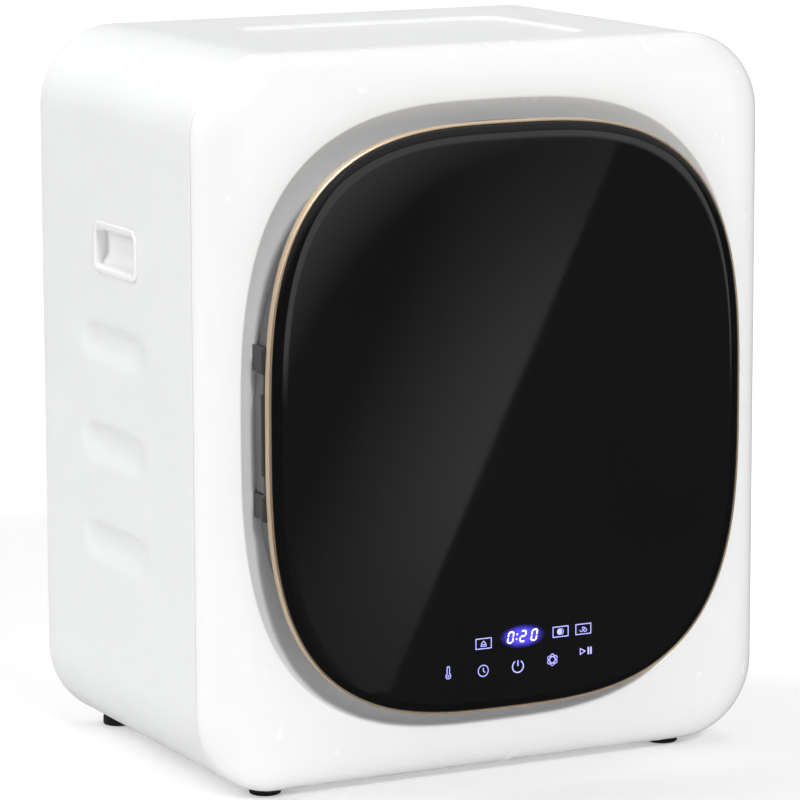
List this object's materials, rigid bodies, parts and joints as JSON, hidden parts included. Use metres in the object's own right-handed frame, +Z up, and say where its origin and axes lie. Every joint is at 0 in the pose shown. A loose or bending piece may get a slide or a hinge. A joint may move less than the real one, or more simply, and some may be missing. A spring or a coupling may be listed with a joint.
{
  "type": "clothes dryer",
  "caption": "Compact front-loading clothes dryer: rounded white cabinet, black touch-glass door with gold trim, turning drum, belt drive, fan and heater inside.",
  "frame": {"origin": "on the floor, midway between the sides and midway between the door glass and the end of the exhaust collar", "axes": "+Z up, the front looks along -Y, +X to the right as seen from the front"},
  "size_m": [0.4936, 0.382, 0.577],
  "materials": {
    "white_steel": "satin white powder coat on sheet steel",
    "white_plastic": "glossy white moulding",
    "grey_plastic": "satin mid-grey moulding",
    "dark_plastic": "dark grey moulding",
    "rubber": "black rubber",
    "grey_rubber": "grey seal rubber",
    "black_glass": "black tinted tempered glass, high gloss",
    "clear_plastic": "clear moulded window",
    "gold_trim": "champagne anodised band with fine grooves",
    "steel": "galvanised and brushed sheet steel",
    "aluminium": "cast and finned aluminium",
    "felt": "pressed wool felt",
    "circuit_board": "green circuit board"
  },
  "bodies": {
    "cabinet": {"cabinet_wrap": "white_steel", "front_panel": "white_plastic", "rear_panel": "white_steel", "left_handle_cup": "white_plastic", "right_handle_cup": "white_plastic", "foot_front_left": "rubber", "foot_front_right": "rubber", "foot_rear_left": "rubber", "foot_rear_right": "rubber", "rear_screw_1": "steel", "rear_screw_2": "steel", "rear_screw_3": "steel", "rear_screw_4": "steel", "cord_gland": "dark_plastic", "front_bulkhead": "steel", "front_felt_seal": "felt", "rear_bulkhead": "steel", "drum_bearing": "steel", "hinge_bracket": "dark_plastic", "hinge_pin": "steel", "strike_plate": "steel", "door_switch": "dark_plastic", "power_board": "circuit_board", "fan_scroll": "grey_plastic", "heater_duct": "steel", "heater_element": "aluminium", "thermal_cutout": "dark_plastic", "intake_grille": "white_plastic", "exhaust_collar": "white_plastic", "motor_housing": "aluminium", "motor_bracket": "steel", "run_capacitor": "aluminium", "drum_belt": "rubber", "fan_belt": "rubber", "tension_spring": "steel"},
    "door": {"door_glass": "black_glass", "door_trim": "gold_trim", "door_shell": "grey_plastic", "door_window": "clear_plastic", "door_gasket": "grey_rubber", "touch_board": "circuit_board", "door_magnet": "steel", "hinge_leaf": "dark_plastic"},
    "drum": {"drum_shell": "steel", "drum_front_ring": "steel", "drum_back": "steel", "lifter_1": "steel", "lifter_2": "steel", "lifter_3": "steel", "drum_hub": "steel", "drum_shaft": "steel"},
    "lint_filter": {"lint_filter": "white_plastic"},
    "motor_rotor": {"motor_shaft": "steel", "drum_drive_pulley": "aluminium", "fan_drive_pulley": "dark_plastic"},
    "fan": {"fan_wheel": "white_plastic", "fan_pulley": "dark_plastic"},
    "idler_arm": {"idler_arm": "steel"},
    "idler_pulley": {"idler_pulley": "dark_plastic"},
    "switch_plunger": {"door_switch_plunger": "white_plastic"}
  },
  "joints": [
    {"name": "door_hinge", "type": "hinge", "parent": "cabinet", "child": "door", "pos_m": [-0.2034, -0.176, 0.292], "axis": [0, 0, -1], "range_deg": [0, 110]},
    {"name": "drum_spin", "type": "hinge", "parent": "cabinet", "child": "drum", "pos_m": [0, 0, 0.292], "axis": [0, 1, 0], "continuous": true},
    {"name": "motor_spin", "type": "hinge", "parent": "cabinet", "child": "motor_rotor", "pos_m": [0.17, 0, 0.065], "axis": [0, 1, 0], "continuous": true},
    {"name": "fan_spin", "type": "hinge", "parent": "cabinet", "child": "fan", "pos_m": [0, 0, 0.292], "axis": [0, 1, 0], "continuous": true},
    {"name": "idler_arm_swing", "type": "hinge", "parent": "cabinet", "child": "idler_arm", "pos_m": [0.134, 0, 0.028], "axis": [0, -1, 0], "range_deg": [0, 10], "stiffness_Nm_per_rad": 2, "deforming": ["tension_spring"]},
    {"name": "idler_spin", "type": "hinge", "parent": "idler_arm", "child": "idler_pulley", "pos_m": [0.07713, 0, 0.05639], "axis": [0, 1, 0], "continuous": true},
    {"name": "filter_slide", "type": "slide", "parent": "drum", "child": "lint_filter", "axis": [0, -1, 0], "range_m": [0, 0.03]},
    {"name": "switch_plunger_travel", "type": "slide", "parent": "cabinet", "child": "switch_plunger", "axis": [0, 1, 0], "range_m": [0, 0.002], "stiffness_N_per_m": 300}
  ],
  "couplings": [
    {"joint": "motor_spin", "follows": "drum_spin", "ratio": 25},
    {"joint": "fan_spin", "follows": "drum_spin", "ratio": 39.118},
    {"joint": "idler_spin", "follows": "drum_spin", "ratio": -17.292}
  ]
}
